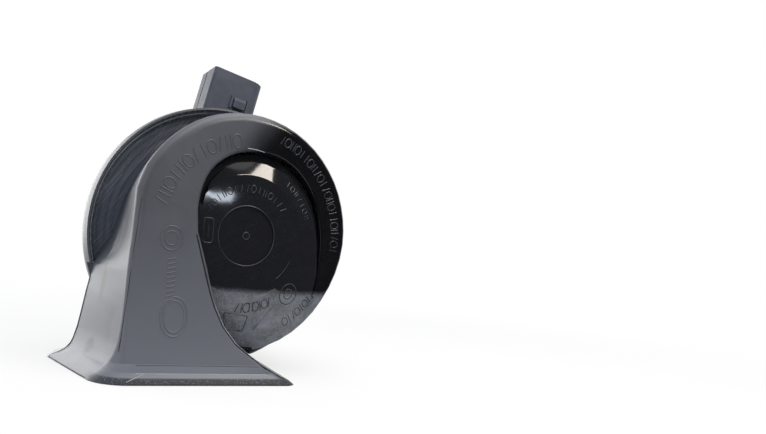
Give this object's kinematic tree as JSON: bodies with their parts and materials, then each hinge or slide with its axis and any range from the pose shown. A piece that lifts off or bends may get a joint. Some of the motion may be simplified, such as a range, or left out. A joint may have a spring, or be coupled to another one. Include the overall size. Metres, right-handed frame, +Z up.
{
  "type": "car horn",
  "caption": "Electric snail horn for a car: plastic spiral duct with a flared mouth, round rear dish, steel driver with a threaded mounting stud, and a tilted connector inlet.",
  "frame": {"origin": "on the axis of the mounting stud, where the stud leaves the rear face of the driver bowl", "axes": "+Y along the stud, out of the back; -Y is the front face of the spiral; +Z up, toward the connector; the mouth opens toward -Z"},
  "size_m": [0.1077, 0.0971, 0.1153],
  "materials": {
    "horn_plastic": "black moulded plastic, satin on the duct and glossy on the central whorl",
    "connector_plastic": "black moulded glass-filled nylon, satin",
    "bowl_paint": "pressed steel with a black dip coat",
    "zinc_steel": "turned or pressed steel, bright zinc plate",
    "spring_steel": "rolled spring steel sheet",
    "soft_iron": "turned soft iron, oiled",
    "copper_wire": "enamelled copper wire",
    "contact_bronze": "rolled bronze strip",
    "contact_metal": "bright contact metal",
    "tinned_brass": "stamped brass, tin plated",
    "gasket": "cut rubber-cork sheet",
    "nylon": "natural moulded nylon"
  },
  "bodies": {
    "root": {"armature": "soft_iron", "armature_rivet": "zinc_steel", "armature_washers": "zinc_steel", "breaker_bracket": "zinc_steel", "breaker_insulators": "nylon", "breaker_pins": "nylon", "coil_bobbin": "nylon", "coil_winding": "copper_wire", "connector_housing": "connector_plastic", "connector_terminals": "tinned_brass", "contact_buttons": "contact_metal", "contact_spring": "contact_bronze", "diaphragm": "spring_steel", "diaphragm_gasket_front": "gasket", "diaphragm_gasket_rear": "gasket", "driver_bowl": "bowl_paint", "driver_screws": "zinc_steel", "fixed_contact_plate": "contact_bronze", "fixed_core_stud": "zinc_steel", "front_horn_shell": "horn_plastic", "lead_wires": "copper_wire", "rear_horn_shell": "horn_plastic", "tuning_screw": "zinc_steel"}
  },
  "joints": []
}
